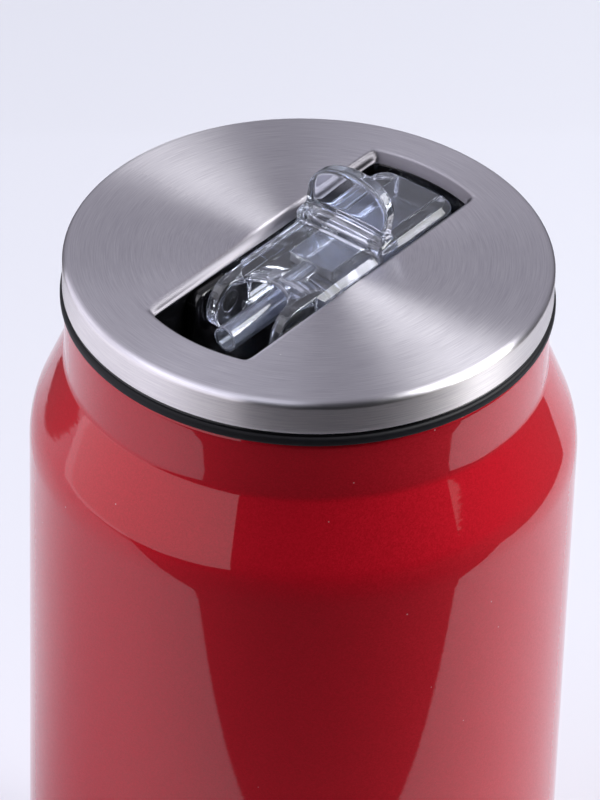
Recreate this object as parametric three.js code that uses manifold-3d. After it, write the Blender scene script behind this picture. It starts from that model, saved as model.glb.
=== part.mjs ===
// Can-shaped steel drinking tumbler with a brushed screw lid and a clear flip-up spout.
// Millimetres, +Z up, origin at the centre of the base. The slot in the lid runs along Y,
// and the spout turns about an axis parallel to X near the slot's -Y end.

import * as THREE from "three";
import { mergeVertices } from "three/addons/utils/BufferGeometryUtils.js";
import Module from "manifold-3d";

const wasm = await Module();
wasm.setup();

const lidTop = 126; // flat middle of the lid above the base
const fitGap = 0.3; // clearance between pieces that sit inside one another
const seamGap = 0.06; // clearance between pieces stacked on one another
const turnSegments = 64;
const smallSegments = 24;
const lipSteps = 4; // facets in the rounding of the lip

const can = {
  radius: 33,
  neckRadius: 28.9,
  neckTop: lidTop - 6.2,
  neckFoot: lidTop - 14.1,
  neckFillet: 2.5,
  shoulderFoot: lidTop - 24.15,
  shoulderFillet: 6,
  lipFillet: 0.6,
  mouthRadius: 27,
  mouthFloor: lidTop - 14.5,
  taperTop: 12,
  taperFillet: 8,
  footOuter: 27.6,
  footFillet: 1.2,
  footInner: 24.5,
  baseRadius: 22.5,
  baseRecess: 1.8,
};

const gasket = { radius: 29.46, inner: 27.2, foot: can.neckTop + seamGap, height: 0.8, edge: 0.35 };

const insert = {
  flangeRadius: 29.3,
  flangeFoot: gasket.foot + gasket.height + seamGap,
  flangeTop: lidTop - 4.46,
  edge: 0.3,
  headRadius: 28.1,
  top: lidTop - 1.6,
};

const cap = {
  sheet: 0.75,
  radius: 29.15,
  bandFoot: insert.flangeTop + seamGap,
  rim: [
    [29.15, lidTop - 0.72],
    [28.65, lidTop - 0.6],
    [28, lidTop - 0.3],
    [27, lidTop - 0.09],
    [24.36, lidTop],
  ],
};

const slot = { halfWidth: 7.15, endRadius: 22.25, shift: 0.6, lipRound: 0.8, lipDrop: 1.3, lipSheet: 0.75 };

const pivot = { y: -9, z: lidTop - 3.9, pinRadius: 1.3, pinReach: 6.6 };

const well = {
  halfWidth: slot.halfWidth + fitGap,
  endRadius: slot.endRadius + fitGap,
  shelf: lidTop - 6.1, // floor below the spout's arm
  floor: lidTop - 12.2, // floor below the pivot, clear of the nozzle as it swings down
  stepY: 0,
};

const spout = {
  hubHalf: 5.55,
  hubRadius: 3.4,
  armHalf: 6.5,
  armStart: -5.6, // the wide part of the arm begins clear of the bearing blocks as it swings up
  armFoot: lidTop - 5.7,
  armEnd: 8.9,
  bevel: 0.95,
  notchHalf: 3.85,
  notchEnd: -6.45,
};

// Rounded hollow under the arm that the notch opens into.
const hollow = { y: pivot.y, z: lidTop - 7, reachX: 9.5, reachY: 8.4, reachZ: 6.1 };

const mouthpiece = { halfWidth: 6, top: lidTop - 0.85, foot: lidTop - 5.65, end: 21.6, corner: 2.8 };

const channel = { halfWidth: 3.3, top: lidTop - 1.75, foot: lidTop - 5, start: 0.2 };

const nozzle = { radius: 1.6, bore: 1.25, tip: -15.6, z: pivot.z + 0.2 };

const bar = { halfWidth: 6.5, near: 5.4, far: 9, top: lidTop + 0.75, foot: lidTop - 1.8 };

const tab = { halfWidth: 6, side: 2.6, height: 6.2, thickness: 1.9, root: 0.5, back: 8.7, lean: 10 };

const bearing = {
  inner: spout.hubHalf + fitGap,
  near: -13.9,
  far: -7.5,
  top: lidTop - 1.7,
  edge: 2,
  bore: pivot.pinRadius + fitGap,
  boreEnd: pivot.pinReach + fitGap,
};

// A profile in the (radius, height) plane: straight runs between [r, z, fillet] corners.
function roundedProfile(corners, arcSteps = 3) {
  const origin = new THREE.Vector2();
  const at = (i) => new THREE.Vector2(corners.at(i % corners.length)[0], corners.at(i % corners.length)[1]);
  return corners.flatMap(([, , fillet = 0], i) => {
    const corner = at(i);
    if (fillet === 0) return [corner];
    const before = at(i - 1).sub(corner).normalize();
    const after = at(i + 1).sub(corner).normalize();
    const half = before.angleTo(after) / 2;
    const reach = fillet / Math.tan(half);
    const centre = before.clone().add(after).setLength(fillet / Math.sin(half)).add(corner);
    const start = before.clone().multiplyScalar(reach).add(corner).sub(centre);
    const end = after.clone().multiplyScalar(reach).add(corner).sub(centre);
    const sweep = Math.atan2(start.cross(end), start.dot(end));
    const steps = Array.from({ length: arcSteps + 1 }, (_, s) => s / arcSteps);
    return steps.map((t) => start.clone().rotateAround(origin, sweep * t).add(centre));
  });
}

// A profile turned about Z.
function turned(points, segments = turnSegments) {
  return new THREE.LatheGeometry(points, segments).rotateX(Math.PI / 2);
}

// A flat shape in XY raised from one height to another, with its level edges cut off at 45 degrees.
function raised(shape, foot, top, bevel = 0) {
  const options = {
    depth: top - foot - 2 * bevel,
    bevelEnabled: bevel > 0,
    bevelThickness: bevel,
    bevelSize: bevel,
    bevelOffset: -bevel,
    bevelSegments: 1,
    curveSegments: smallSegments,
  };
  return new THREE.ExtrudeGeometry(shape, options).translate(0, 0, foot + bevel);
}

// A shape drawn in (y, z) carried across X from one side to the other.
function across(shape, left, right) {
  const options = { depth: right - left, bevelEnabled: false, curveSegments: smallSegments };
  const yAxis = new THREE.Vector3(0, 1, 0);
  const zAxis = new THREE.Vector3(0, 0, 1);
  const xAxis = new THREE.Vector3(1, 0, 0);
  const placed = new THREE.Matrix4().makeBasis(yAxis, zAxis, xAxis).setPosition(left, 0, 0);
  return new THREE.ExtrudeGeometry(shape, options).applyMatrix4(placed);
}

// A box between two corners.
function block(x0, x1, y0, y1, z0, z1) {
  const box = new THREE.BoxGeometry(x1 - x0, y1 - y0, z1 - z0);
  return box.translate((x0 + x1) / 2, (y0 + y1) / 2, (z0 + z1) / 2);
}

// A round bar along X.
function barX(radius, x0, x1, y, z) {
  const round = new THREE.CylinderGeometry(radius, radius, x1 - x0, smallSegments);
  return round.rotateZ(Math.PI / 2).translate((x0 + x1) / 2, y, z);
}

// A round bar along Y.
function barY(radius, y0, y1, z) {
  const round = new THREE.CylinderGeometry(radius, radius, y1 - y0, smallSegments);
  return round.translate(0, (y0 + y1) / 2, z);
}

// A closed geometry as a solid that can be joined and cut.
function solid(geometry) {
  const bare = new THREE.BufferGeometry();
  bare.setAttribute("position", geometry.getAttribute("position"));
  bare.setIndex(geometry.getIndex());
  const welded = mergeVertices(bare, 1e-4);
  const corners = welded.getIndex().array;
  const triangles = [];
  for (let i = 0; i < corners.length; i += 3) {
    const triangle = corners.slice(i, i + 3);
    if (new Set(triangle).size === 3) triangles.push(...triangle);
  }
  const vertProperties = welded.getAttribute("position").array;
  const triVerts = new Uint32Array(triangles);
  return new wasm.Manifold(new wasm.Mesh({ numProp: 3, vertProperties, triVerts }));
}

// The geometry of a finished solid.
function geometryOf(body) {
  const mesh = body.getMesh();
  const geometry = new THREE.BufferGeometry();
  geometry.setAttribute("position", new THREE.Float32BufferAttribute(mesh.vertProperties, 3));
  geometry.setIndex(Array.from(mesh.triVerts));
  geometry.computeVertexNormals();
  return geometry;
}

// A closed skin through rings of equal length, from the lowest up, with flat ends.
function lofted(rings) {
  const count = rings[0].length;
  const last = (rings.length - 1) * count;
  const index = [];
  for (let base = 0; base < last; base += count) {
    for (let i = 0; i < count; i++) {
      const a = base + i;
      const b = base + ((i + 1) % count);
      index.push(a, b, b + count, a, b + count, a + count);
    }
  }
  for (let i = 1; i < count - 1; i++) {
    index.push(0, i + 1, i, last, last + i, last + i + 1);
  }
  const geometry = new THREE.BufferGeometry();
  geometry.setAttribute("position", new THREE.Float32BufferAttribute(rings.flat(2), 3));
  geometry.setIndex(index);
  return geometry;
}

// A slot with straight sides along Y and round ends, set a little off the lid's centre.
function slotOutline(halfWidth, endRadius) {
  const corner = Math.acos(halfWidth / endRadius);
  const outline = new THREE.Shape();
  outline.absarc(0, slot.shift, endRadius, corner, Math.PI - corner);
  outline.absarc(0, slot.shift, endRadius, Math.PI + corner, 2 * Math.PI - corner);
  outline.closePath();
  return outline;
}

function canBody() {
  const points = roundedProfile([
    [0, can.baseRecess],
    [can.baseRadius, can.baseRecess],
    [can.footInner, 0],
    [can.footOuter, 0, can.footFillet],
    [can.radius, can.taperTop, can.taperFillet],
    [can.radius, can.shoulderFoot, can.shoulderFillet],
    [can.neckRadius, can.neckFoot, can.neckFillet],
    [can.neckRadius, can.neckTop, can.lipFillet],
    [can.mouthRadius, can.neckTop],
    [can.mouthRadius, can.mouthFloor],
    [0, can.mouthFloor],
  ]);
  return turned(points);
}

function neckGasket() {
  const top = gasket.foot + gasket.height;
  const points = roundedProfile([
    [gasket.inner, gasket.foot],
    [gasket.radius, gasket.foot, gasket.edge],
    [gasket.radius, top, gasket.edge],
    [gasket.inner, top],
  ]);
  return turned([...points, points[0]]);
}

// Plug and flange, with the well for the spout and two bearing blocks for its pins.
function lidInsert() {
  const plugRadius = can.mouthRadius - fitGap;
  const plugFoot = can.mouthFloor + fitGap;
  const points = roundedProfile([
    [0, plugFoot],
    [plugRadius, plugFoot],
    [plugRadius, insert.flangeFoot],
    [insert.flangeRadius, insert.flangeFoot, insert.edge],
    [insert.flangeRadius, insert.flangeTop, insert.edge],
    [insert.headRadius, insert.flangeTop],
    [insert.headRadius, insert.top],
    [0, insert.top],
  ]);
  const outline = slotOutline(well.halfWidth, well.endRadius);
  const shallow = solid(raised(outline, well.shelf, lidTop));
  const nearHalf = block(-can.radius, can.radius, -can.radius, well.stepY, 0, lidTop + 1);
  const deep = solid(raised(outline, well.floor, lidTop)).intersect(solid(nearHalf));

  const side = new THREE.Shape();
  side.moveTo(bearing.near, well.floor - fitGap);
  side.lineTo(bearing.far, well.floor - fitGap);
  side.lineTo(bearing.far, bearing.top);
  side.absarc(bearing.near + bearing.edge, bearing.top - bearing.edge, bearing.edge, Math.PI / 2, Math.PI);
  side.closePath();
  const wallSide = well.halfWidth + fitGap;
  const rightBlock = solid(across(side, bearing.inner, wallSide));
  const leftBlock = solid(across(side, -wallSide, -bearing.inner));
  const pinBore = solid(barX(bearing.bore, -bearing.boreEnd, bearing.boreEnd, pivot.y, pivot.z));

  const plug = solid(turned(points)).subtract(shallow).subtract(deep);
  return geometryOf(plug.add(rightBlock).add(leftBlock).subtract(pinBore));
}

// Steel cover: flat top, rounded rim and band, with a lip rolled down round the slot.
function lidCap() {
  const underside = lidTop - cap.sheet;
  const bandInner = cap.radius - cap.sheet;
  const points = [
    [0, underside],
    [bandInner, underside - cap.sheet],
    [bandInner, cap.bandFoot],
    [cap.radius, cap.bandFoot],
    ...cap.rim,
    [0, lidTop],
  ].map(([r, z]) => new THREE.Vector2(r, z));

  const collar = slot.lipRound + slot.lipSheet;
  const collarOutline = slotOutline(slot.halfWidth + collar, slot.endRadius + collar);
  const collarBlock = raised(collarOutline, lidTop - slot.lipDrop, lidTop - cap.sheet / 2);

  const ring = (offset, z) => {
    const outline = slotOutline(slot.halfWidth + offset, slot.endRadius + offset);
    return outline.getPoints(smallSegments).slice(0, -1).map(({ x, y }) => [x, y, z]);
  };
  const roundTop = Array.from({ length: lipSteps + 1 }, (_, s) => {
    const turn = ((Math.PI / 2) * s) / lipSteps;
    return ring(slot.lipRound * (1 - Math.cos(turn)), lidTop - slot.lipRound * (1 - Math.sin(turn)));
  });
  const cutter = lofted([ring(0, lidTop - 3 * slot.lipDrop), ...roundTop, ring(slot.lipRound, lidTop + 1)]);
  return geometryOf(solid(turned(points)).add(solid(collarBlock)).subtract(solid(cutter)));
}

// Clear spout: hub and arm, mouthpiece, thumb tab on its bar, nozzle and pivot pins.
function flipSpout() {
  const footAngle = Math.asin((pivot.z - spout.armFoot) / spout.hubRadius);
  const side = new THREE.Shape();
  side.moveTo(spout.armEnd, spout.armFoot);
  side.lineTo(spout.armEnd, pivot.z + spout.hubRadius);
  side.absarc(pivot.y, pivot.z, spout.hubRadius, Math.PI / 2, 2 * Math.PI - footAngle);
  side.closePath();
  const hub = solid(across(side, -spout.hubHalf, spout.hubHalf));

  const armShape = new THREE.Shape();
  armShape.moveTo(-spout.armHalf, spout.armStart);
  armShape.lineTo(spout.armHalf, spout.armStart);
  armShape.lineTo(spout.armHalf, spout.armEnd);
  armShape.lineTo(-spout.armHalf, spout.armEnd);
  armShape.closePath();
  const arm = solid(raised(armShape, spout.armFoot, pivot.z + spout.hubRadius, spout.bevel));

  const { notchHalf } = spout;
  const notchShape = new THREE.Shape();
  notchShape.moveTo(-notchHalf, nozzle.tip);
  notchShape.lineTo(notchHalf, nozzle.tip);
  notchShape.absarc(0, spout.notchEnd - notchHalf, notchHalf, 0, Math.PI);
  notchShape.closePath();
  const notch = solid(raised(notchShape, 0, lidTop + 1));
  const dome = new THREE.SphereGeometry(1, smallSegments, smallSegments / 2);
  dome.scale(hollow.reachX, hollow.reachY, hollow.reachZ).translate(0, hollow.y, hollow.z);
  const between = block(-notchHalf, notchHalf, -can.radius, can.radius, 0, lidTop);
  const opened = notch.add(solid(dome).intersect(solid(between)));

  const corner = mouthpiece.corner;
  const endShape = new THREE.Shape();
  endShape.moveTo(-mouthpiece.halfWidth, bar.near);
  endShape.lineTo(mouthpiece.halfWidth, bar.near);
  endShape.absarc(mouthpiece.halfWidth - corner, mouthpiece.end - corner, corner, 0, Math.PI / 2);
  endShape.absarc(corner - mouthpiece.halfWidth, mouthpiece.end - corner, corner, Math.PI / 2, Math.PI);
  endShape.closePath();
  const end = solid(raised(endShape, mouthpiece.foot, mouthpiece.top, spout.bevel));

  const tabShape = new THREE.Shape();
  tabShape.moveTo(-tab.halfWidth, -tab.root);
  tabShape.lineTo(tab.halfWidth, -tab.root);
  tabShape.absellipse(0, tab.side, tab.halfWidth, tab.height - tab.side, 0, Math.PI);
  tabShape.closePath();
  const tabOptions = { depth: tab.thickness, bevelEnabled: false, curveSegments: smallSegments };
  const tabPlate = new THREE.ExtrudeGeometry(tabShape, tabOptions).rotateX(Math.PI / 2);
  tabPlate.rotateX(THREE.MathUtils.degToRad(-tab.lean)).translate(0, tab.back, bar.top);

  const barBlock = block(-bar.halfWidth, bar.halfWidth, bar.near, bar.far, bar.foot, bar.top);
  const pins = barX(pivot.pinRadius, -pivot.pinReach, pivot.pinReach, pivot.y, pivot.z);
  const pinGap = block(-notchHalf, notchHalf, nozzle.tip, spout.notchEnd, 0, lidTop);
  const tube = barY(nozzle.radius, nozzle.tip, channel.start - seamGap, nozzle.z);
  const bore = barY(nozzle.bore, nozzle.tip - 1, channel.start + 1, nozzle.z);
  const duct = block(
    -channel.halfWidth, channel.halfWidth, channel.start, mouthpiece.end + 1, channel.foot, channel.top,
  );

  const outer = hub.add(arm).subtract(opened).add(end).add(solid(barBlock)).add(solid(tabPlate));
  const pinned = outer.add(solid(pins).subtract(solid(pinGap)));
  return geometryOf(pinned.add(solid(tube)).subtract(solid(bore)).subtract(solid(duct)));
}

function piece(name, geometry, finish) {
  const mesh = new THREE.Mesh(geometry, new THREE.MeshStandardMaterial(finish));
  mesh.name = name;
  return mesh;
}

const tumbler = new THREE.Group();
tumbler.add(piece("can_body", canBody(), { color: 0xa8141c, roughness: 0.25, metalness: 0.3 }));
tumbler.add(piece("neck_gasket", neckGasket(), { color: 0x141418, roughness: 0.55, metalness: 0 }));
tumbler.add(piece("lid_insert", lidInsert(), { color: 0x0e0e11, roughness: 0.3, metalness: 0 }));
tumbler.add(piece("lid_cap", lidCap(), { color: 0xb4b0b8, roughness: 0.35, metalness: 1 }));
tumbler.add(piece("flip_spout", flipSpout(), { color: 0xdfe4ec, roughness: 0.05, metalness: 0 }));

export default tumbler;
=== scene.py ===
import math

import bmesh
import bpy
import numpy as np
from mathutils import Matrix, Vector


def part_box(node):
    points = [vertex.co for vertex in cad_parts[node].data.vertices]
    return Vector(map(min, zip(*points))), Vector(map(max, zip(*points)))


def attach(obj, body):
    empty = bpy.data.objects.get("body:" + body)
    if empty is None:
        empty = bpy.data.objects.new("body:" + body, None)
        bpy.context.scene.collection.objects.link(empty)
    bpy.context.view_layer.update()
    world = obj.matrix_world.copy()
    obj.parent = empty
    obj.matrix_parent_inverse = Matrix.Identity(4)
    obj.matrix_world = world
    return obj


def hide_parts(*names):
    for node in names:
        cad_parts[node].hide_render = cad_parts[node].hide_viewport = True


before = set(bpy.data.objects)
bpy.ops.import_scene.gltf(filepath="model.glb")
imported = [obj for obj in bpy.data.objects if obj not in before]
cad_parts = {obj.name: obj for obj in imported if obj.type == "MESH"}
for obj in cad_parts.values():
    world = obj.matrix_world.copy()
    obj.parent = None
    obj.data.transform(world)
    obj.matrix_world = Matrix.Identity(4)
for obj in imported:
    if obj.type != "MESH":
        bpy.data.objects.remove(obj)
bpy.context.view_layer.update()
mm = 0.001
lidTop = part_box("lid_cap")[1].z / mm  # flat of the lid above the table, in mm as all sizes below
print("frame loaded, lid top at", round(lidTop, 2), "mm")


# Small helpers

def linearColour(hexText):
    # sRGB hex to linear light
    parts = [int(hexText[i:i + 2], 16) / 255 for i in (1, 3, 5)]
    return tuple(c / 12.92 if c <= 0.04045 else ((c + 0.055) / 1.055) ** 2.4 for c in parts) + (1.0,)


def plug(tree, node, inputs):
    # outputs of other nodes are linked, plain values are set on the node's own sockets
    for socket, value in inputs.items():
        if isinstance(value, bpy.types.NodeSocket):
            tree.links.new(value, node.inputs[socket])
        else:
            node.inputs[socket].default_value = value


def addNode(tree, kind, inputs=None, **settings):
    # one shader node with its settings and its inputs
    made = tree.nodes.new("ShaderNode" + kind)
    for name, value in settings.items():
        setattr(made, name, value)
    plug(tree, made, inputs or {})
    return made


def newMaterial(name):
    material = bpy.data.materials.new(name)
    material.use_nodes = True
    tree = material.node_tree
    tree.nodes.clear()
    shader = addNode(tree, "BsdfPrincipled")
    addNode(tree, "OutputMaterial", {"Surface": shader.outputs[0]})
    coords = addNode(tree, "TexCoord").outputs["Object"]
    return material, tree, shader, coords


def addNoise(tree, coords, size, detail, **inputs):
    # noise whose marks are about one size across, in mm
    inputs.update({"Vector": coords, "Scale": 1 / (size * mm), "Detail": detail})
    return addNode(tree, "TexNoise", inputs).outputs["Fac"]


def addTone(tree, value, dark, pale, start=0.0, end=1.0):
    # a value to a colour between two tones
    ramp = addNode(tree, "ValToRGB", {"Fac": value})
    for stop, place, colour in zip(ramp.color_ramp.elements, (start, end), (dark, pale)):
        stop.position = place
        stop.color = linearColour(colour)
    return ramp.outputs[0]


def addBump(tree, height, strength, depth):
    # a height of 0 to 1 to a bump of that depth in mm
    return addNode(tree, "Bump", {"Height": height, "Strength": strength, "Distance": depth * mm}).outputs[0]


def addDust(tree, coords, colour, look):
    # one speck in each cell of a loose grid, over the colour below
    cells = addNode(tree, "TexVoronoi", {"Vector": coords, "Scale": 1 / (look["dustSpacing"] * mm)})
    size = look["dustSize"] / look["dustSpacing"]
    speck = addNode(tree, "MapRange", {"Value": cells.outputs["Distance"],
                                       "From Min": size, "From Max": size / 2})
    dusty = addNode(tree, "Mix", {"Factor": speck.outputs[0], 6: colour, 7: linearColour(look["dustColour"])},
                    data_type="RGBA")
    return dusty.outputs[2]


def addPiece(name, points, quads, material, body, nodes=(), normals=None):
    # points in mm to a mesh piece at the origin; without normals of its own it is a skin of rings,
    # and its doubles are merged at seams and poles
    mesh = bpy.data.meshes.new(name)
    mesh.from_pydata((points * mm).tolist(), [], quads.tolist())
    if normals is None:
        work = bmesh.new()
        work.from_mesh(mesh)
        bmesh.ops.remove_doubles(work, verts=work.verts, dist=1e-7)
        bmesh.ops.dissolve_degenerate(work, edges=work.edges, dist=1e-8)
        work.to_mesh(mesh)
        work.free()
    mesh.polygons.foreach_set("use_smooth", np.ones(len(mesh.polygons), bool))
    if normals is not None:
        mesh.normals_split_custom_set_from_vertices(normals.tolist())
    mesh.materials.append(material)
    piece = bpy.data.objects.new(name, mesh)
    bpy.context.scene.collection.objects.link(piece)
    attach(piece, body)
    if nodes:
        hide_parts(*nodes)
    print(name, "has", len(mesh.polygons), "faces")
    return piece


def ringSkin(rings):
    # rings is rows x around x 3: each ring is joined to the next, and each wraps round on itself
    rows, around, _ = rings.shape
    ids = np.arange(rows * around).reshape(rows, around)
    nextIds = np.roll(ids, -1, axis=1)
    quads = np.stack([ids[:-1], nextIds[:-1], nextIds[1:], ids[1:]], axis=-1).reshape(-1, 4)
    return rings.reshape(-1, 3), quads


def roundedProfile(corners, spacing=1.5, arcSteps=10):
    # straight runs between corners (radius, height, fillet), each corner an arc of its own fillet,
    # with points no further apart than the spacing
    flat = [np.array(c[:2], float) for c in corners]
    points = []
    for i, corner in enumerate(corners):
        here = flat[i]
        fillet = corner[2] if len(corner) > 2 else 0
        if not fillet:
            points.append(here)
            continue
        before = (flat[i - 1] - here) / np.linalg.norm(flat[i - 1] - here)
        after = (flat[(i + 1) % len(flat)] - here)
        after /= np.linalg.norm(after)
        half = math.acos(np.clip(before @ after, -1, 1)) / 2
        middle = (before + after) / np.linalg.norm(before + after)
        centre = here + middle * fillet / math.sin(half)
        start = here + before * fillet / math.tan(half) - centre
        end = here + after * fillet / math.tan(half) - centre
        sweep = math.atan2(start[0] * end[1] - start[1] * end[0], start @ end)
        turn = np.linspace(0, sweep, arcSteps + 1)[:, None]
        points.extend(centre + start * np.cos(turn) + np.array([-start[1], start[0]]) * np.sin(turn))
    points = np.array(points)
    lengths = np.linalg.norm(np.diff(points, axis=0), axis=1)
    extra = [a + (b - a) * np.linspace(0, 1, max(1, math.ceil(n / spacing)) + 1)[:-1, None]
             for a, b, n in zip(points[:-1], points[1:], lengths)]
    return np.vstack(extra + [points[-1:]])


def spun(profile, segments):
    # the profile (radius, height) turned about Z: x = r cos a, y = r sin a, z = height
    angle = np.linspace(0, 2 * np.pi, segments, endpoint=False)
    radius = profile[:, :1]
    height = np.broadcast_to(profile[:, 1:], (len(profile), segments))
    return ringSkin(np.stack([radius * np.cos(angle), radius * np.sin(angle), height], axis=-1))


# Lacquered body

lacquerLook = {"flakeSize": 0.16, "flakeTilt": 0.05, "dark": "#b00b1b", "pale": "#c41025",
               "dustSpacing": 5.0, "dustSize": 0.12, "dustColour": "#c9a0a4",
               "streakHeight": 0.5, "streakStretch": 0.12, "streakStrength": 0.5, "streakDepth": 0.004}


def redLacquer(look):
    # candy lacquer on steel: a clear coat over tinted metal flake, so reflections of dark things go
    # deep red and bright ones pale, with grains of flake and a little dust
    material, tree, shader, coords = newMaterial("candyRedLacquer")
    flake = addNode(tree, "TexVoronoi", {"Vector": coords, "Scale": 1 / (look["flakeSize"] * mm)})
    flake = flake.outputs["Color"]
    tilt = addNode(tree, "VectorMath", {0: flake, 1: (0.5, 0.5, 0.5)}, operation="SUBTRACT")
    tilt = addNode(tree, "VectorMath", {0: tilt.outputs[0], "Scale": look["flakeTilt"]}, operation="SCALE")
    normal = addNode(tree, "NewGeometry").outputs["Normal"]
    tilted = addNode(tree, "VectorMath", {0: normal, 1: tilt.outputs[0]}, operation="ADD")
    tilted = addNode(tree, "VectorMath", {0: tilted.outputs[0]}, operation="NORMALIZE")
    tone = addTone(tree, flake, look["dark"], look["pale"])
    # the coat follows the spun steel below in fine level streaks, so that edges in it look ragged
    stretch = look["streakStretch"]
    streaks = addNode(tree, "Mapping", {"Vector": coords, "Scale": (stretch, stretch, 1.0)})
    wave = addNoise(tree, streaks.outputs[0], look["streakHeight"], 2.0)
    plug(tree, shader, {
        "Base Color": addDust(tree, coords, tone, look), "Normal": tilted.outputs[0],
        "Metallic": 0.4, "Roughness": 0.52, "Specular IOR Level": 0.1,
        "Coat Weight": 1.0, "Coat Roughness": 0.035, "Coat IOR": 1.5,
        "Coat Normal": addBump(tree, wave, look["streakStrength"], look["streakDepth"])})
    return material


canSizes = {"radius": 33.0, "neckRadius": 28.9, "neckTop": -6.2, "neckFoot": -14.1, "neckFillet": 2.5,
            "shoulderFoot": -24.15, "shoulderFillet": 12.0, "lip": 0.6, "mouthRadius": 27.0,
            "mouthFloor": -14.5, "mouthEdge": 0.3, "taperTop": 12.0, "taperFillet": 8.0,
            "footOuter": 27.6, "footFillet": 1.2, "footInner": 24.5, "footEdge": 0.3,
            "baseRadius": 22.5, "baseRecess": 1.8, "baseFillet": 1.0, "segments": 224}


def makeCan(s):
    # one profile from the middle of the base round the outside to the floor of the mouth, spun
    profile = roundedProfile([
        (0, s["baseRecess"]),
        (s["baseRadius"], s["baseRecess"], s["baseFillet"]),
        (s["footInner"], 0, s["footEdge"]),
        (s["footOuter"], 0, s["footFillet"]),
        (s["radius"], s["taperTop"], s["taperFillet"]),
        (s["radius"], lidTop + s["shoulderFoot"], s["shoulderFillet"]),
        (s["neckRadius"], lidTop + s["neckFoot"], s["neckFillet"]),
        (s["neckRadius"], lidTop + s["neckTop"], s["lip"]),
        (s["mouthRadius"], lidTop + s["neckTop"], s["mouthEdge"]),
        (s["mouthRadius"], lidTop + s["mouthFloor"], s["mouthEdge"]),
        (0, lidTop + s["mouthFloor"])])
    points, quads = spun(profile, s["segments"])
    addPiece("canBody", points, quads, redLacquer(lacquerLook), "tumbler", ["can_body"])


makeCan(canSizes)


# Sealing ring under the lid

siliconeLook = {"bloomSize": 1.2, "dark": "#07070a", "pale": "#121218", "smooth": 0.45, "rough": 0.6}


def blackSilicone(look):
    # moulded silicone rubber: soft sheen and a dusty bloom
    material, tree, shader, coords = newMaterial("blackSilicone")
    bloom = addNoise(tree, coords, look["bloomSize"], 4.0)
    rough = addNode(tree, "MapRange", {"Value": bloom, "To Min": look["smooth"], "To Max": look["rough"]})
    plug(tree, shader, {
        "Base Color": addTone(tree, bloom, look["dark"], look["pale"]), "Roughness": rough.outputs[0],
        "IOR": 1.43, "Specular IOR Level": 0.3})
    return material


gasketSizes = {"radius": 29.4, "inner": 27.2, "foot": -6.14, "height": 1.3, "edge": 0.45, "innerEdge": 0.1,
               "segments": 224}


def makeGasket(s):
    # a small rounded section spun round the neck
    foot = lidTop + s["foot"]
    profile = roundedProfile([
        (s["inner"], foot, s["innerEdge"]),
        (s["radius"], foot, s["edge"]),
        (s["radius"], foot + s["height"], s["edge"]),
        (s["inner"], foot + s["height"], s["innerEdge"])], arcSteps=8)
    points, quads = spun(np.vstack([profile, profile[:1]]), s["segments"])
    material = blackSilicone(siliconeLook)
    addPiece("neckGasket", points, quads, material, "tumbler", ["neck_gasket"])


makeGasket(gasketSizes)


# Slot in the lid, shared by the cover and the well below it

slotSizes = {"halfWidth": 7.15, "endRadius": 22.25, "shift": 0.6, "sharpness": 44, "around": 720}


def slotRadius(angle, offset, s=slotSizes):
    # distance from the lid's middle to the slot's edge in each direction: the nearer of the straight
    # side and the round end, whose centre is shifted along y, blended by a high power so that the
    # corners are slightly round
    side = np.abs(np.cos(angle)) / (s["halfWidth"] + offset)
    reach = np.sqrt((s["endRadius"] + offset) ** 2 - (s["shift"] * np.cos(angle)) ** 2)
    end = 1 / (reach + s["shift"] * np.sin(angle))
    return (side ** s["sharpness"] + end ** s["sharpness"]) ** (-1 / s["sharpness"])


def slotAngles(s=slotSizes):
    # directions that step evenly along the slot's edge
    fine = np.linspace(0, 2 * np.pi, 20001)
    radius = slotRadius(fine, 0)
    steps = np.hypot(np.diff(radius * np.cos(fine)), np.diff(radius * np.sin(fine)))
    walked = np.concatenate([[0], np.cumsum(steps)])
    return np.interp(np.linspace(0, walked[-1], s["around"], endpoint=False), walked, fine)


def polarRings(rows, angle):
    # rows of (radius, height) at the shared directions, either a number or one value for each direction
    radius = np.stack([np.broadcast_to(r, angle.shape) for r, _ in rows])
    height = np.stack([np.broadcast_to(z, angle.shape) for _, z in rows])
    return np.stack([radius * np.cos(angle), radius * np.sin(angle), height], axis=-1)


lidAngles = slotAngles()


# Black insert with the spout's well

plasticLook = {"colour": "#08080a", "rippleSize": 6.0, "rippleStrength": 0.05, "rippleDepth": 0.2,
               "dustSpacing": 3.0, "dustSize": 0.1, "dustColour": "#9a9aa2"}


def blackPlastic(look):
    # moulded ABS, gloss black: near-mirror with a slight ripple and a few grains of dust
    material, tree, shader, coords = newMaterial("glossBlackABS")
    ripple = addNoise(tree, coords, look["rippleSize"], 2.0)
    plug(tree, shader, {
        "Base Color": addDust(tree, coords, linearColour(look["colour"]), look),
        "Normal": addBump(tree, ripple, look["rippleStrength"], look["rippleDepth"]),
        "Roughness": 0.13, "IOR": 1.53})
    return material


insertSizes = {"wellGap": 0.3, "shelf": -6.1, "floor": -12.2, "ramp": 1.5, "top": -1.6, "topEdge": 0.3,
               "headRadius": 28.1, "headEdge": 0.1, "flangeRadius": 29.1, "flangeTop": -4.46,
               "flangeFoot": -4.8, "edge": 0.12, "plugRadius": 26.7, "plugFoot": -14.2,
               "plugEdge": 0.2, "plugFillet": 0.6, "floorRows": 24, "wallRows": 12}


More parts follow.
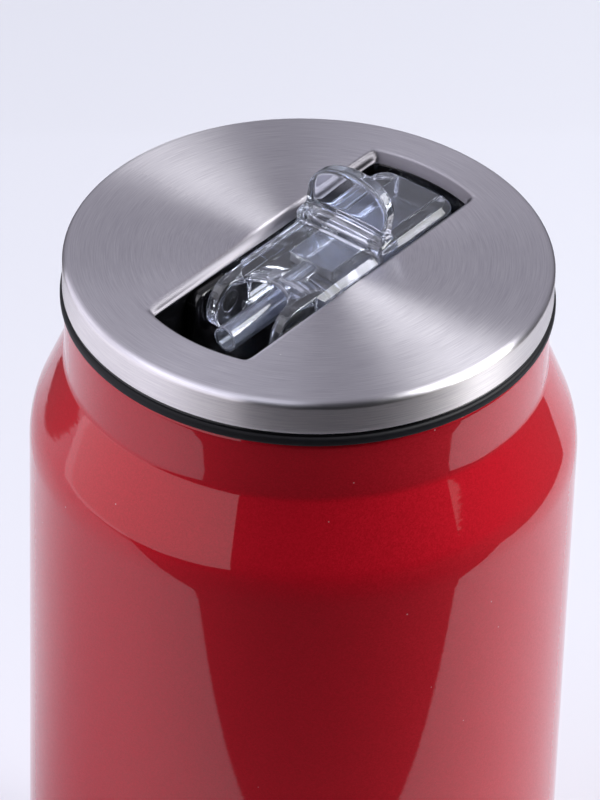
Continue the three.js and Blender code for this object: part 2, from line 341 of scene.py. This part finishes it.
def makeInsert(s, angle, material):
    # rings from the middle of the well's floor out to its wall, up the wall, over the top and down the
    # outside to the middle of the plug's foot; the floor ramps from the deep end to the shelf along y
    wall = slotRadius(angle, s["wellGap"])
    rows = []
    for part in np.linspace(0, 1, s["floorRows"]):
        step = np.clip((part * wall * np.sin(angle) + s["ramp"]) / (2 * s["ramp"]), 0, 1)
        rows.append((part * wall, lidTop + s["floor"] + (s["shelf"] - s["floor"]) * step))
    floorEdge = rows[-1][1]
    top, edge = lidTop + s["top"], s["topEdge"]
    for part in np.linspace(0, 1, s["wallRows"])[1:]:
        rows.append((wall, floorEdge + (top - edge - floorEdge) * part))
    rows.append((wall + edge, top))
    rows.extend((wall + edge + (s["headRadius"] - 2 * edge - wall) * part, top) for part in (0.33, 0.66))
    rows.extend(roundedProfile([
        (s["headRadius"], top, edge),
        (s["headRadius"], lidTop + s["flangeTop"], s["headEdge"]),
        (s["flangeRadius"], lidTop + s["flangeTop"], s["edge"]),
        (s["flangeRadius"], lidTop + s["flangeFoot"], s["edge"]),
        (s["plugRadius"], lidTop + s["flangeFoot"], s["plugEdge"]),
        (s["plugRadius"], lidTop + s["plugFoot"], s["plugFillet"]),
        (0, lidTop + s["plugFoot"])], spacing=3, arcSteps=6))
    points, quads = ringSkin(polarRings(rows, angle)[::-1])
    addPiece("lidInsert", points, quads, material, "tumbler", ["lid_insert"])


insertBlack = blackPlastic(plasticLook)
makeInsert(insertSizes, lidAngles, insertBlack)
print("lid insert done")


# Steel cover of the lid

# scratches are in mm, and scratchTurn is how far the pattern moves on in metres for each radian round; the
# upright and lip values are the surface normal's height, 1 where it faces up
steelLook = {"scratchWidth": 0.14, "scratchTurn": 0.0006, "broadWidth": 4.8, "broadShare": 0.15,
             "dark": "#c2bfc7", "darkEnd": 0.3, "pale": "#dedce1", "paleStart": 0.7,
             "dustSpacing": 7.0, "dustSize": 0.13, "dustColour": "#f2f2f2",
             # the band's tint raises and warms its colour as painted light
             "bandUpright": 0.1, "flatUpright": 0.7, "bandPaintedLight": (1.32, 1.29, 1.2),
             "bandRough": 0.28, "flatRough": 0.29, "roughSpread": 0.06,
             # the lip's colour darkens it as painted shade
             "lipReach": 24.0, "lipStart": 0.995, "lipEnd": 0.85, "lipRough": 0.6, "lipPaintedShade": "#9a979e",
             "scratchStrength": 0.2, "scratchDepth": 0.012}


def brushedSteel(look):
    # stainless sheet spun against an abrasive: rings of fine scratches that stretch a highlight
    # across themselves, so the lid shows fans of light from its middle outwards
    material, tree, shader, coords = newMaterial("spunBrushedSteel")
    part = addNode(tree, "SeparateXYZ", {0: coords}).outputs
    flat = addNode(tree, "VectorMath", {0: coords, 1: (1, 1, 0)}, operation="MULTIPLY")
    radius = addNode(tree, "VectorMath", {0: flat.outputs[0]}, operation="LENGTH").outputs["Value"]
    run = addNode(tree, "Math", {0: radius, 1: part["Z"]}, operation="SUBTRACT").outputs[0]
    angle = addNode(tree, "Math", {0: part["Y"], 1: part["X"]}, operation="ARCTAN2").outputs[0]
    along = addNode(tree, "Math", {0: angle, 1: look["scratchTurn"]}, operation="MULTIPLY").outputs[0]
    place = addNode(tree, "CombineXYZ", {0: run, 1: along}).outputs[0]
    fine = addNoise(tree, place, look["scratchWidth"], 3.0, Roughness=0.7)
    broad = addNoise(tree, place, look["broadWidth"], 2.0)
    both = addNode(tree, "Mix", {"Factor": look["broadShare"], 2: fine, 3: broad}).outputs[0]
    tone = addTone(tree, both, look["dark"], look["pale"], look["darkEnd"], look["paleStart"])
    tone = addDust(tree, coords, tone, look)

    # the upright band is a touch smoother than the flat, and its colour is raised and warmed as painted
    # light: a painted highlight with the warm cast of a painted reflection
    normal = addNode(tree, "NewGeometry").outputs["Normal"]
    upright = addNode(tree, "SeparateXYZ", {0: normal}).outputs["Z"]
    band = {"Value": upright, "From Min": look["bandUpright"], "From Max": look["flatUpright"]}
    level = addNode(tree, "MapRange", band).outputs[0]
    plain = addNode(tree, "MapRange", {**band, "To Min": look["bandRough"], "To Max": look["flatRough"]})
    rough = addNode(tree, "Math", {0: both, 1: look["roughSpread"], 2: plain.outputs[0]},
                    operation="MULTIPLY_ADD").outputs[0]
    bandPaintedLightTone = addNode(tree, "VectorMath", {0: tone, 1: look["bandPaintedLight"]}, operation="MULTIPLY").outputs[0]
    shade = addNode(tree, "Mix", {"Factor": level, 6: bandPaintedLightTone, 7: tone}, data_type="RGBA").outputs[2]

    # the lip rolled down round the slot, where the surface turns over well inside the rim, is satin, and its
    # colour is darkened there as painted shade that dims its highlight
    inside = addNode(tree, "Math", {0: radius, 1: look["lipReach"] * mm}, operation="LESS_THAN").outputs[0]
    bent = addNode(tree, "MapRange", {"Value": upright,
                                      "From Min": look["lipStart"], "From Max": look["lipEnd"]})
    lip = addNode(tree, "Math", {0: inside, 1: bent.outputs[0]}, operation="MULTIPLY").outputs[0]
    rough = addNode(tree, "Mix", {"Factor": lip, 2: rough, 3: look["lipRough"]}).outputs[0]
    shade = addNode(tree, "Mix", {"Factor": lip, 6: shade, 7: linearColour(look["lipPaintedShade"])},
                    data_type="RGBA")

    # the highlight stretches across the scratches: scratch direction crossed with the surface normal
    turned = addNode(tree, "Math", {0: part["Y"], 1: -1.0}, operation="MULTIPLY")
    scratch = addNode(tree, "CombineXYZ", {0: turned.outputs[0], 1: part["X"]})
    across = addNode(tree, "VectorMath", {0: scratch.outputs[0], 1: normal}, operation="CROSS_PRODUCT")
    across = addNode(tree, "VectorMath", {0: across.outputs[0]}, operation="NORMALIZE")
    plug(tree, shader, {
        "Base Color": shade.outputs[2], "Roughness": rough, "Tangent": across.outputs[0],
        "Normal": addBump(tree, both, look["scratchStrength"], look["scratchDepth"]),
        "Metallic": 1.0, "Anisotropic": 0.95})
    return material


capSizes = {"sheet": 0.75, "radius": 29.15, "bandFoot": -4.4, "edge": 0.14, "underRound": 0.3,
            "lipRound": 1.0, "lipDrop": 1.5, "lipSheet": 0.75, "lipEdge": 0.05, "lipSteps": 13,
            "flatRadius": 24.36, "rimRadius": 28.05, "ringDrop": 0.126, "rimDrop": 0.95, "rimSteps": 28}


def makeCap(s, angle):
    # rings from the foot of the rolled lip up its inside, over its round, out across the flat and the
    # slightly sloped ring round it, over the rim as a quarter ellipse, down the band and back underneath
    rows = [(slotRadius(angle, 0), lidTop - s["lipDrop"] + part) for part in (s["lipEdge"], 5 * s["lipEdge"])]
    turn = np.linspace(0, np.pi / 2, s["lipSteps"])
    rows += [(slotRadius(angle, s["lipRound"] * (1 - math.cos(t))),
              lidTop - s["lipRound"] * (1 - math.sin(t))) for t in turn]
    lipEdge = slotRadius(angle, s["lipRound"])
    rows += [(lipEdge + (s["flatRadius"] - lipEdge) * part, lidTop)
             for part in (0.06, 0.2, 0.4, 0.6, 0.8, 0.94)]
    part = np.array([0, 0.02, 0.3, 0.6, 0.9])
    rows += list(zip(s["flatRadius"] + (s["rimRadius"] - s["flatRadius"]) * part,
                     lidTop - s["ringDrop"] * part))
    turn = np.linspace(0, np.pi / 2, s["rimSteps"])
    rows += list(zip(s["rimRadius"] + (s["radius"] - s["rimRadius"]) * np.sin(turn),
                     lidTop - s["ringDrop"] - (s["rimDrop"] - s["ringDrop"]) * (1 - np.cos(turn))))
    rows += list(roundedProfile([
        (s["radius"], lidTop - s["rimDrop"]),
        (s["radius"], lidTop + s["bandFoot"], s["edge"]),
        (s["radius"] - s["sheet"], lidTop + s["bandFoot"], s["edge"]),
        (s["radius"] - s["sheet"], lidTop - 2 * s["sheet"], s["underRound"]),
        (s["flatRadius"], lidTop - s["sheet"])], spacing=0.6, arcSteps=5)[1:])
    lipOut = slotRadius(angle, s["lipRound"] + s["lipSheet"])
    rows += [(s["flatRadius"] + (lipOut - s["flatRadius"]) * part, lidTop - s["sheet"])
             for part in (0.5, 1.0)]
    rows += [(slotRadius(angle, out), lidTop - s["lipDrop"]) for out in (s["lipSheet"], s["lipEdge"])]
    rings = polarRings(rows, angle)
    points, quads = ringSkin(np.concatenate([rings, rings[:1]])[::-1])
    addPiece("lidCap", points, quads, brushedSteel(steelLook), "tumbler", ["lid_cap"])


makeCap(capSizes, lidAngles)
print("lid cover done")


# Bearing blocks in the well, one each side of the spout

bearingSizes = {"inner": 5.85, "outer": 7.6, "near": -13.9, "far": -7.5, "top": -1.7, "foot": -12.2,
                "round": 2.0, "farRound": 0.5, "footEdge": 0.2, "edge": 0.25}


def makeBearing(name, side, s, material):
    # the block's outline in (y, z) carried across x, its ends drawn in by a quarter-round edge
    outline = roundedProfile([
        (s["near"], lidTop + s["foot"], s["footEdge"]),
        (s["far"], lidTop + s["foot"], s["footEdge"]),
        (s["far"], lidTop + s["top"], s["farRound"]),
        (s["near"], lidTop + s["top"], s["round"])], arcSteps=8)
    middle = np.array([(s["near"] + s["far"]) / 2, lidTop + (s["foot"] + s["top"]) / 2])
    reach = np.array([s["far"] - s["near"], s["top"] - s["foot"]]) / 2
    turn = np.linspace(0, np.pi / 2, 5)
    inset = np.concatenate([s["edge"] * (1 - np.sin(turn)), s["edge"] * (1 - np.cos(turn))])
    width = s["outer"] - s["inner"]
    place = np.concatenate([s["edge"] * (1 - np.cos(turn)), width - s["edge"] * (1 - np.sin(turn))])
    inset = np.concatenate([[reach.min()], inset, [reach.min()]])
    place = np.concatenate([[0], place, [width]])
    shrink = 1 - inset[:, None, None] / reach
    shrink[[0, -1]] = 0  # each end closes on its middle
    flat = middle + (outline - middle) * shrink
    across = np.broadcast_to((s["inner"] + place)[:, None], flat.shape[:2])
    rings = np.stack([side * across, flat[..., 0], flat[..., 1]], axis=-1)
    points, quads = ringSkin(rings if side > 0 else rings[::-1])
    addPiece(name, points, quads, material, "tumbler")


makeBearing("bearingRight", 1, bearingSizes, insertBlack)
makeBearing("bearingLeft", -1, bearingSizes, insertBlack)
print("lid done")


# Clear spout, one moulding: heights are from the lid's flat

clearLook = {"colour": "#ecf1ff", "flowSize": 3.5, "flowStrength": 0.06, "flowDepth": 0.15, "smear": 0.025,
             "cloudLow": 0.35, "cloudHigh": 0.65, "cloudThin": 0.5, "cloudThick": 1.1,
             "frostRough": 0.4, "clear": 0.975, "frosted": 0.75}


def clearPlastic(look):
    # injection-moulded polycarbonate: clear and bright-edged with faint flow marks; the walls of the
    # drinking way, shaped by an unpolished core, are frosted and catch the light
    material, tree, shader, coords = newMaterial("clearPolycarbonate")
    flow = addNoise(tree, coords, look["flowSize"], 2.0)
    smear = addNode(tree, "MapRange", {"Value": flow, "To Min": 0.0, "To Max": look["smear"]}).outputs[0]
    core = addNode(tree, "Attribute", attribute_name="frost").outputs["Fac"]
    cloud = addNode(tree, "MapRange", {"Value": flow,
                                       "From Min": look["cloudLow"], "From Max": look["cloudHigh"],
                                       "To Min": look["cloudThin"], "To Max": look["cloudThick"]})
    frost = addNode(tree, "Math", {0: core, 1: cloud.outputs[0]}, operation="MULTIPLY").outputs[0]
    rough = addNode(tree, "Math", {0: frost, 1: look["frostRough"], 2: smear}, operation="MULTIPLY_ADD")
    clear = addNode(tree, "MapRange", {"Value": frost, "To Min": look["clear"], "To Max": look["frosted"]})
    plug(tree, shader, {
        "Base Color": linearColour(look["colour"]), "IOR": 1.57,
        "Normal": addBump(tree, flow, look["flowStrength"], look["flowDepth"]),
        "Roughness": rough.outputs[0], "Transmission Weight": clear.outputs[0]})
    return material


spoutSizes = {
    "cell": 0.17, "margin": 0.6, "floor": -8.2, "settle": 4, "edge": 0.2, "bevel": 0.95, "bevelTilt": 38.0,
    "pivot": (-9.0, -3.9), "hubRadius": 3.4, "pinRadius": 1.3, "pinReach": 6.6, "pinFillet": 0.25,
    "hubHalf": 5.55, "armHalf": 6.5, "armStart": -5.6, "armFoot": -5.7, "armEnd": 8.9, "sharp": 0.01,
    "armFillet": 0.2, "notchHalf": 3.85, "notchEnd": -6.45, "notchFillet": 0.5,
    "hollow": (-9.0, -7.0), "hollowReach": (9.5, 8.4, 6.1), "hollowFillet": 0.2,
    "mouthHalf": 6.0, "mouthTop": -0.85, "mouthFoot": -5.65, "mouthEnd": 21.6, "mouthCorner": 2.8,
    "mouthFillet": 0.3,
    "ductHalf": 3.3, "ductTop": -1.75, "ductFoot": -5.0, "ductStart": 0.2, "ductEdge": 0.3, "wayFillet": 0.2,
    "past": 1.0, "tubeRadius": 1.6, "tubeBore": 1.25, "tubeTip": -15.6, "tubeLift": 0.2, "tubeGap": 0.1,
    "boreLap": 0.6, "tubeEdge": 0.12, "tubeFillet": 0.4,
    "barHalf": 6.5, "barNear": 5.4, "barFar": 9.0, "barTop": 0.75, "barFoot": -1.8, "barRound": 0.5,
    "tabHalf": 6.0, "tabSide": 2.6, "tabHeight": 6.2, "tabThick": 1.9, "tabBack": 8.7, "tabLean": 10.0,
    "tabHollow": 0.5, "tabPower": 2.3, "tabRoot": 1.0, "tabEdge": 0.55, "tabFillet": 1.0}


def roundedBox(spans, edge):
    # distance to a box with rounded edges, given by spans (coordinate, from, to): outside reach plus inside
    # depth, less the edge radius
    q = [np.abs(at - (low + high) / 2) - ((high - low) / 2 - edge) for at, low, high in spans]
    outside = np.sqrt(sum(np.maximum(c, 0) ** 2 for c in q))
    return outside + np.minimum(np.maximum.reduce(q), 0) - edge


def carried(flat, along, half, edge):
    # a flat distance carried along a third axis to plus and minus half, with rounded end edges
    a, b = flat + edge, np.abs(along) - half + edge
    return np.hypot(np.maximum(a, 0), np.maximum(b, 0)) + np.minimum(np.maximum(a, b), 0) - edge


def joined(a, b, fillet):
    # the nearer of two distances, with a smooth fillet where they meet
    blend = np.maximum(fillet - np.abs(a - b), 0) / fillet
    return np.minimum(a, b) - blend * blend * fillet / 4


def cutAway(a, b, fillet):
    # the first with the second taken out: joined, turned inside out
    return -joined(-a, b, fillet)


def bevelled(a, b, s=spoutSizes):
    # where a side and a top meet, a flat bevel with slightly rounded edges
    tilt = math.radians(s["bevelTilt"])
    flat = (a + s["bevel"]) * math.sin(tilt) + b * math.cos(tilt)
    return -joined(-np.maximum(a, b), -flat, s["edge"])


def ductDistance(x, y, z, s=spoutSizes):
    # the drinking way: a flat duct from behind the nozzle to the open far end
    return roundedBox([(x, -s["ductHalf"], s["ductHalf"]), (y, s["ductStart"], s["mouthEnd"] + s["past"]),
                       (z - lidTop, s["ductFoot"], s["ductTop"])], s["ductEdge"])


def boreDistance(x, y, z, s=spoutSizes):
    # the nozzle's round bore, from outside its tip into the duct
    across = np.hypot(x, z - lidTop - s["pivot"][1] - s["tubeLift"])
    ends = np.maximum(y - s["ductStart"] - s["boreLap"], s["tubeTip"] - s["past"] - y)
    return np.maximum(across - s["tubeBore"], ends)


def tabDistance(x, y, h, s=spoutSizes):
    # thumb tab: straight sides under a half ellipse, leaning back, its front slightly hollow; the outline
    # is the root of the sum of powers of both offsets, less one, over its own slope
    rise = h - s["barTop"]
    over = np.maximum(rise - s["tabSide"], 0)
    crown = s["tabHeight"] - s["tabSide"]
    power = s["tabPower"]
    ratio = ((np.abs(x) / s["tabHalf"]) ** power + (over / crown) ** power + 1e-9) ** (1 / power)
    slope = ratio ** (1 - power) * np.hypot(np.abs(x) ** (power - 1) / s["tabHalf"] ** power,
                                            over ** (power - 1) / crown ** power)
    outline = np.maximum((ratio - 1) / np.maximum(slope, 0.08), -rise - s["tabRoot"])
    tilt = math.radians(s["tabLean"])
    bow = s["tabHollow"] * (x / s["tabHalf"]) ** 2
    depth = y - (s["tabBack"] - s["tabThick"] / 2 + math.tan(tilt) * rise) + bow
    return carried(outline, depth * math.cos(tilt), s["tabThick"] / 2, s["tabEdge"])


def spoutDistance(x, y, z, s=spoutSizes):
    # signed distance to the moulding: hub and arm, notch, mouthpiece, bar and tab joined with fillets,
    # then nozzle and pins added and the drinking way cut out
    py, pz = s["pivot"]
    h = z - lidTop
    armTop = pz + s["hubRadius"]
    armHeights = (h, s["armFoot"], armTop)
    hub = np.minimum(roundedBox([(y, py, s["armEnd"]), armHeights], s["sharp"]),
                     np.hypot(y - py, h - pz) - s["hubRadius"])
    solid = carried(hub, x, s["hubHalf"], s["edge"])
    arm = roundedBox([(y, s["armStart"], s["armEnd"]), armHeights], s["sharp"])
    solid = joined(solid, bevelled(np.abs(x) - s["armHalf"], arm), s["armFillet"])

    # round-ended opening in the top, and the hollow under the arm that it opens into
    notchMiddle = s["notchEnd"] - s["notchHalf"]
    notch = np.where(y > notchMiddle, np.hypot(x, y - notchMiddle), np.abs(x)) - s["notchHalf"]
    solid = cutAway(solid, notch, s["notchFillet"])
    hy, hz = s["hollow"]
    rx, ry, rz = s["hollowReach"]
    dome = np.sqrt((x / rx) ** 2 + ((y - hy) / ry) ** 2 + ((h - hz) / rz) ** 2 + 1e-9)
    hollow = np.maximum((dome - 1) * min(rx, ry, rz), np.abs(x) - s["notchHalf"])
    solid = cutAway(solid, hollow, s["hollowFillet"])

    plan = roundedBox([(x, -s["mouthHalf"], s["mouthHalf"]), (y, s["barNear"], s["mouthEnd"])],
                      s["mouthCorner"])
    ends = np.abs(h - (s["mouthTop"] + s["mouthFoot"]) / 2) - (s["mouthTop"] - s["mouthFoot"]) / 2
    solid = joined(solid, bevelled(plan, ends), s["mouthFillet"])

    bar = roundedBox([(x, -s["barHalf"], s["barHalf"]), (y, s["barNear"], s["barFar"]),
                      (h, s["barFoot"], s["barTop"])], s["barRound"])
    solid = joined(solid, bar, s["barRound"])
    solid = joined(solid, tabDistance(x, y, h), s["tabFillet"])

    tubeEnd = s["ductStart"] - s["tubeGap"]
    across = np.hypot(x, h - pz - s["tubeLift"])
    tube = carried(across - s["tubeRadius"], y - (s["tubeTip"] + tubeEnd) / 2, (tubeEnd - s["tubeTip"]) / 2,
                   s["tubeEdge"])
    solid = joined(solid, tube, s["tubeFillet"])

    pins = carried(np.hypot(y - py, h - pz) - s["pinRadius"],
                   np.abs(x) - (s["notchHalf"] + s["pinReach"]) / 2,
                   (s["pinReach"] - s["notchHalf"]) / 2, s["edge"])
    solid = joined(solid, pins, s["pinFillet"])

    return cutAway(solid, np.minimum(ductDistance(x, y, z), boreDistance(x, y, z)), s["wayFillet"])


def netSurface(distance, low, high, cell):
    # a mesh where the distance is nought: one vertex in each grid cell that the surface crosses, at the
    # mean of its edge crossings, and one face for each grid edge that crosses
    axes = [np.arange(a, b + cell, cell) for a, b in zip(low, high)]
    field = distance(*np.meshgrid(*axes, indexing="ij"))
    inside = field < 0
    cells = tuple(n - 1 for n in field.shape)
    total = np.zeros(cells + (3,))
    count = np.zeros(cells)
    crossings = []
    for axis in range(3):
        first = [slice(None)] * 3
        second = [slice(None)] * 3
        first[axis] = slice(None, -1)
        second[axis] = slice(1, None)
        a, b = field[tuple(first)], field[tuple(second)]
        crosses = inside[tuple(first)] != inside[tuple(second)]
        part = np.where(crosses, a / np.where(crosses, a - b, 1), 0)
        crossings.append((crosses, inside[tuple(first)]))
        others = [k for k in range(3) if k != axis]
        for u in (0, 1):
            for v in (0, 1):
                pick = [slice(None)] * 3
                pick[others[0]] = slice(u, u + cells[others[0]])
                pick[others[1]] = slice(v, v + cells[others[1]])
                here = crosses[tuple(pick)]
                count += here
                total[..., axis] += part[tuple(pick)]
                total[..., others[0]] += u * here
                total[..., others[1]] += v * here
    active = count > 0
    ids = np.full(cells, -1)
    ids[active] = np.arange(active.sum())
    points = np.argwhere(active) + total[active] / count[active][:, None]
    points = points * cell + np.array([a[0] for a in axes])
    quads = []
    for axis in range(3):
        crosses, startsInside = crossings[axis]
        u, v = [k for k in range(3) if k != axis]
        at = np.argwhere(crosses)
        at = at[(at[:, u] > 0) & (at[:, v] > 0) & (at[:, u] < cells[u]) & (at[:, v] < cells[v])]
        corners = []
        for du, dv in ((-1, -1), (0, -1), (0, 0), (-1, 0)):
            spot = at.copy()
            spot[:, u] += du
            spot[:, v] += dv
            corners.append(ids[tuple(spot.T)])
        quad = np.stack(corners, axis=-1)
        flip = startsInside[tuple(at.T)] == (axis == 1)
        quad[flip] = quad[flip][:, ::-1]
        quads.append(quad)
    return points, np.concatenate(quads)


def slopeOf(distance, points, step):
    # gradient of the distance by central differences
    sides = [distance(*(points + d).T) - distance(*(points - d).T) for d in np.eye(3) * step]
    return np.stack(sides, axis=-1) / (2 * step)


frostSizes = {"duct": 0.35, "polished": 0.28, "polishStart": 5.0, "polishRun": 4.0, "bore": 0.45,
              "reach": 0.15}


def frostOf(points, s=frostSizes):
    # full on the walls of the drinking way and the bore, none a little way off them, and less where the
    # core is polished under the mouthpiece
    fade = np.clip((points[:, 1] - s["polishStart"]) / s["polishRun"], 0, 1)
    duct = np.clip(1 - np.abs(ductDistance(*points.T)) / s["reach"], 0, 1)
    bore = np.clip(1 - np.abs(boreDistance(*points.T)) / s["reach"], 0, 1)
    return np.maximum((s["duct"] - s["polished"] * fade) * duct, s["bore"] * bore)


def makeSpout(s):
    # the surface where the spout's distance is nought: a net over a grid, then each vertex moved along the
    # slope by the distance that is left, with the slope as its normal
    margin = s["margin"]
    low = (-s["barHalf"] - margin, s["tubeTip"] - margin, lidTop + s["floor"])
    high = (s["barHalf"] + margin, s["mouthEnd"] + margin, lidTop + s["barTop"] + s["tabHeight"] + margin)
    points, quads = netSurface(spoutDistance, low, high, s["cell"])
    for _ in range(s["settle"]):
        slope = slopeOf(spoutDistance, points, 0.01)
        step = spoutDistance(*points.T) / np.maximum((slope ** 2).sum(axis=1), 0.25)
        points = points - np.clip(step, -s["cell"], s["cell"])[:, None] * slope
    slope = slopeOf(spoutDistance, points, 0.02)
    normals = slope / np.linalg.norm(slope, axis=1, keepdims=True)
    material = clearPlastic(clearLook)
    piece = addPiece("flipSpout", points, quads, material, "spout", ["flip_spout"], normals)
    frost = piece.data.attributes.new("frost", "FLOAT", "POINT")
    frost.data.foreach_set("value", frostOf(points).astype(np.float32))


makeSpout(spoutSizes)
print("spout done")


# Camera, floor and lights: view coordinates are x to the right, y away, z up, in metres

viewSizes = {"azimuth": 37.7, "distance": 0.6022, "height": 0.5599, "pitch": 37.099, "yaw": -0.052,
             "roll": 1.779, "lens": 283.06, "sensor": 36, "nearest": 0.01}


def fromView(x, y, z):
    # view coordinates turned about Z by the camera's azimuth
    turn = math.radians(viewSizes["azimuth"])
    return Vector((x * math.cos(turn) - y * math.sin(turn), x * math.sin(turn) + y * math.cos(turn), z))


def axesOf(*axes):
    # three directions as the columns of a turn
    return Matrix(axes).transposed().to_4x4()


def makeCamera(s):
    # looking ahead and down by the pitch, a little aside by the yaw, then rolled about that line
    pitch, yaw, roll = (math.radians(s[k]) for k in ("pitch", "yaw", "roll"))
    ahead = Vector((math.sin(yaw) * math.cos(pitch), math.cos(yaw) * math.cos(pitch), -math.sin(pitch)))
    level = Vector((math.cos(yaw), -math.sin(yaw), 0))
    steep = level.cross(ahead)
    right = level * math.cos(roll) + steep * math.sin(roll)
    up = steep * math.cos(roll) - level * math.sin(roll)
    data = bpy.data.cameras.new("photoCamera")
    data.lens = s["lens"]
    data.sensor_width = s["sensor"]
    data.clip_start = s["nearest"]
    camera = bpy.data.objects.new("photoCamera", data)
    place = Matrix.Translation(fromView(0, -s["distance"], s["height"]))
    camera.matrix_world = place @ axesOf(fromView(*right), fromView(*up), fromView(*-ahead))
    bpy.context.scene.collection.objects.link(camera)
    bpy.context.scene.camera = camera


def addSheet(name, corners, height, colour, roughness):
    # a flat sheet through corners (x, y) of the view, as part of the stage
    material, _, shader, _ = newMaterial(name + "Finish")
    shader.inputs["Base Color"].default_value = linearColour(colour)
    shader.inputs["Roughness"].default_value = roughness
    mesh = bpy.data.meshes.new(name)
    mesh.from_pydata([tuple(fromView(x, y, height)) for x, y in corners], [], [tuple(range(len(corners)))])
    mesh.materials.append(material)
    sheet = bpy.data.objects.new(name, mesh)
    bpy.context.scene.collection.objects.link(sheet)
    return sheet


tableSizes = {"floor": 2.5, "left": -0.6, "right": 0.26, "back": 0.208, "backSlope": 0.06, "front": -0.100,
              "frontSlope": 0.22, "cardLift": 0.0004, "floorColour": "#d2d4dc", "floorRough": 0.7,
              "frontColour": "#48484c", "cardColour": "#0a0a0a", "cardRough": 0.9}


def makeTable(s):
    half, left, right = s["floor"], s["left"], s["right"]
    frontNear, frontFar = s["front"] - s["frontSlope"] * half, s["front"] + s["frontSlope"] * half
    backLeft, backRight = s["back"] + s["backSlope"] * left, s["back"] + s["backSlope"] * right
    front = [(-half, -half), (half, -half), (half, frontFar), (-half, frontNear)]
    addSheet("paleFloor", [(-half, frontNear), (half, frontFar), (half, half), (-half, half)], 0,
             s["floorColour"], s["floorRough"])
    paleFront = addSheet("paleFront", front, 0, s["floorColour"], s["floorRough"])
    paleFront.visible_diffuse = False
    paleFront.visible_glossy = False
    # the pale table ends in front, behind and at both sides: dark cards lie there for reflections only,
    # and the one in front, just under its pale sheet, also keeps the light of the table off the can
    cards = {
        "darkFront": front,
        "darkRight": [(right, -half), (half, -half), (half, half), (right, half)],
        "darkBack": [(left, backLeft), (right, backRight), (right, half), (left, half)],
        "darkLeft": [(-half, -half), (left, -half), (left, half), (-half, half)]}
    for name, corners in cards.items():
        under = name == "darkFront"
        card = addSheet(name, corners, -s["cardLift"] if under else s["cardLift"],
                        s["frontColour"] if under else s["cardColour"], s["cardRough"])
        card.visible_camera = False
        card.visible_shadow = False
        card.visible_diffuse = under
        card.visible_transmission = False


lidSpot = (0, 0, 0.12)

# each softbox: its place, what it faces, the direction of its width, both sides in metres, and watts
softboxes = {
    "leftSoftbox": {"place": (-0.470, 0.013, 0.45), "aim": (-0.035, 0.130, 0.45), "wide": (0.26, -0.97, 0.09),
                    "width": 1.25, "height": 0.9, "power": 4.5, "colour": "#f8f5ff"},
    "keySoftbox": {"place": (0.59, 0.02, 0.76), "aim": lidSpot, "wide": (0.37, 0.57, -0.30),
                   "width": 0.56, "height": 0.6, "power": 6.3, "colour": "#ffffff"},
    "topSoftbox": {"place": (-0.36, -0.12, 0.92), "aim": lidSpot, "wide": (1, -0.2, 0),
                   "width": 0.8, "height": 0.65, "power": 2.1, "colour": "#f2f3ff"},
    "rightSoftbox": {"place": (0.75, -0.08, 0.52), "aim": lidSpot, "wide": (0, 1, 0),
                     "width": 0.4, "height": 0.4, "power": 5.0, "colour": "#ffffff"},
    "rightStrip": {"place": (0.55, -0.25, 0.117), "aim": lidSpot, "wide": (0.4, 0.9, 0),
                   "width": 0.06, "height": 0.032, "power": 0.0055, "colour": "#ffffff"}}


def addSoftbox(name, place, aim, wide, width, height, power, colour):
    # an area light at a place, facing the aim, its width along the wide direction
    data = bpy.data.lights.new(name, "AREA")
    data.shape = "RECTANGLE"
    data.size = width
    data.size_y = height
    data.energy = power
    data.color = linearColour(colour)[:3]
    back = (fromView(*place) - fromView(*aim)).normalized()
    level = fromView(*wide)
    level = (level - back * level.dot(back)).normalized()
    lamp = bpy.data.objects.new(name, data)
    lamp.matrix_world = Matrix.Translation(fromView(*place)) @ axesOf(level, back.cross(level), back)
    lamp.visible_camera = False
    bpy.context.scene.collection.objects.link(lamp)


roomLook = {"paleSide": (0, 0.8, 0.6), "dark": "#1e1e22", "darkEnd": 0.35, "pale": "#aeacb6",
            "paleStart": 0.8}


def makeRoom(look):
    # the room is dim in front and low down, pale behind and above, where the lid mirrors it
    world = bpy.data.worlds.new("studio")
    world.use_nodes = True
    tree = world.node_tree
    facing = addNode(tree, "TexCoord").outputs["Generated"]
    behind = addNode(tree, "VectorMath", {0: facing, 1: fromView(*look["paleSide"])}, operation="DOT_PRODUCT")
    sky = addTone(tree, behind.outputs["Value"], look["dark"], look["pale"],
                  look["darkEnd"], look["paleStart"])
    plug(tree, tree.nodes["Background"], {"Color": sky})
    scene = bpy.context.scene
    scene.world = world
    scene.view_settings.view_transform = "Standard"
    # light goes round inside the clear spout many times before it leaves
    scene.cycles.max_bounces = 32
    scene.cycles.glossy_bounces = 24
    scene.cycles.transmission_bounces = 24


makeCamera(viewSizes)
makeTable(tableSizes)
for boxName, boxLook in softboxes.items():
    addSoftbox(boxName, **boxLook)
makeRoom(roomLook)
print("camera and lights done")
